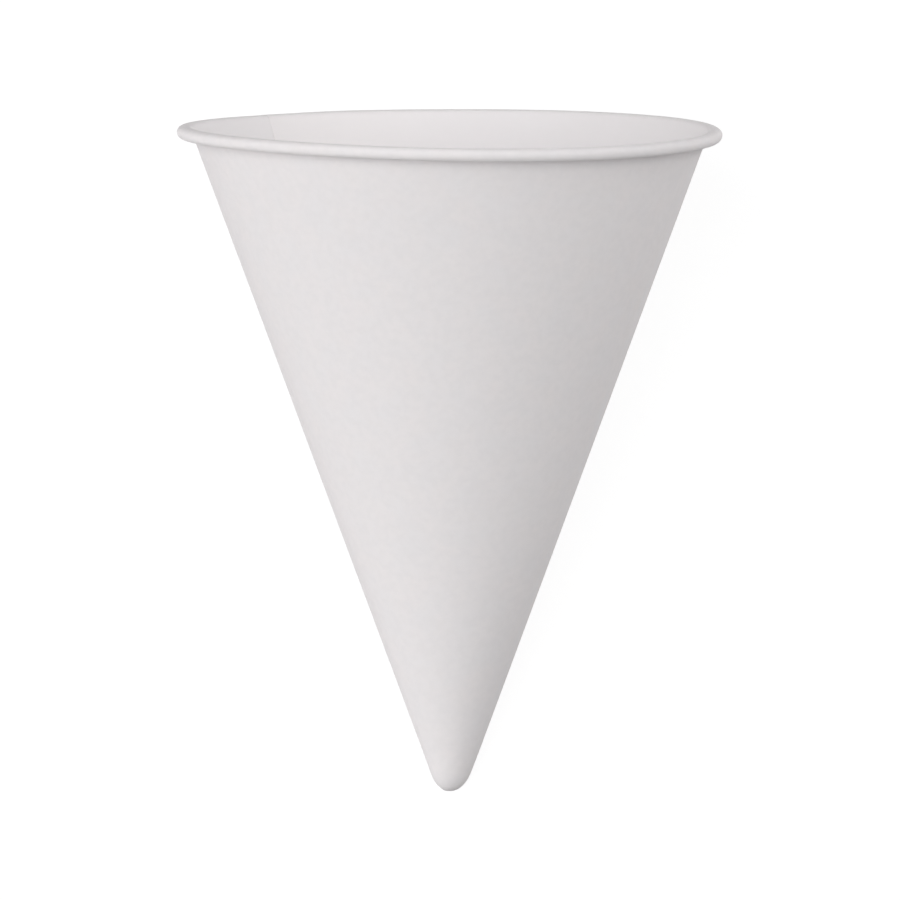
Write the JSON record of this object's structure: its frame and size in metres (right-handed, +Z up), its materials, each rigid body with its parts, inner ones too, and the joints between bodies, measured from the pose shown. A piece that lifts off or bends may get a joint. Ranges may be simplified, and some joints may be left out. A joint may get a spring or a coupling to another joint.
{
  "type": "cone paper cup",
  "caption": "Cone-shaped paper drinking cup with a rolled rim and a rounded tip, wound from a sheet of paper with a glued lap, lying on its side.",
  "frame": {"origin": "on the floor, under the middle of the lying cup's box", "axes": "+Z up, +Y along the floor from the tip to the mouth, +X across the cup; the cup's own axis is in the YZ plane and rises towards the mouth by 21.3 degrees"},
  "size_m": [0.0734, 0.098, 0.0687],
  "materials": {
    "paper": "uncoated white cup paper, matt, with a faint fibre"
  },
  "bodies": {
    "root": {"cone_cup": "paper"}
  },
  "joints": []
}
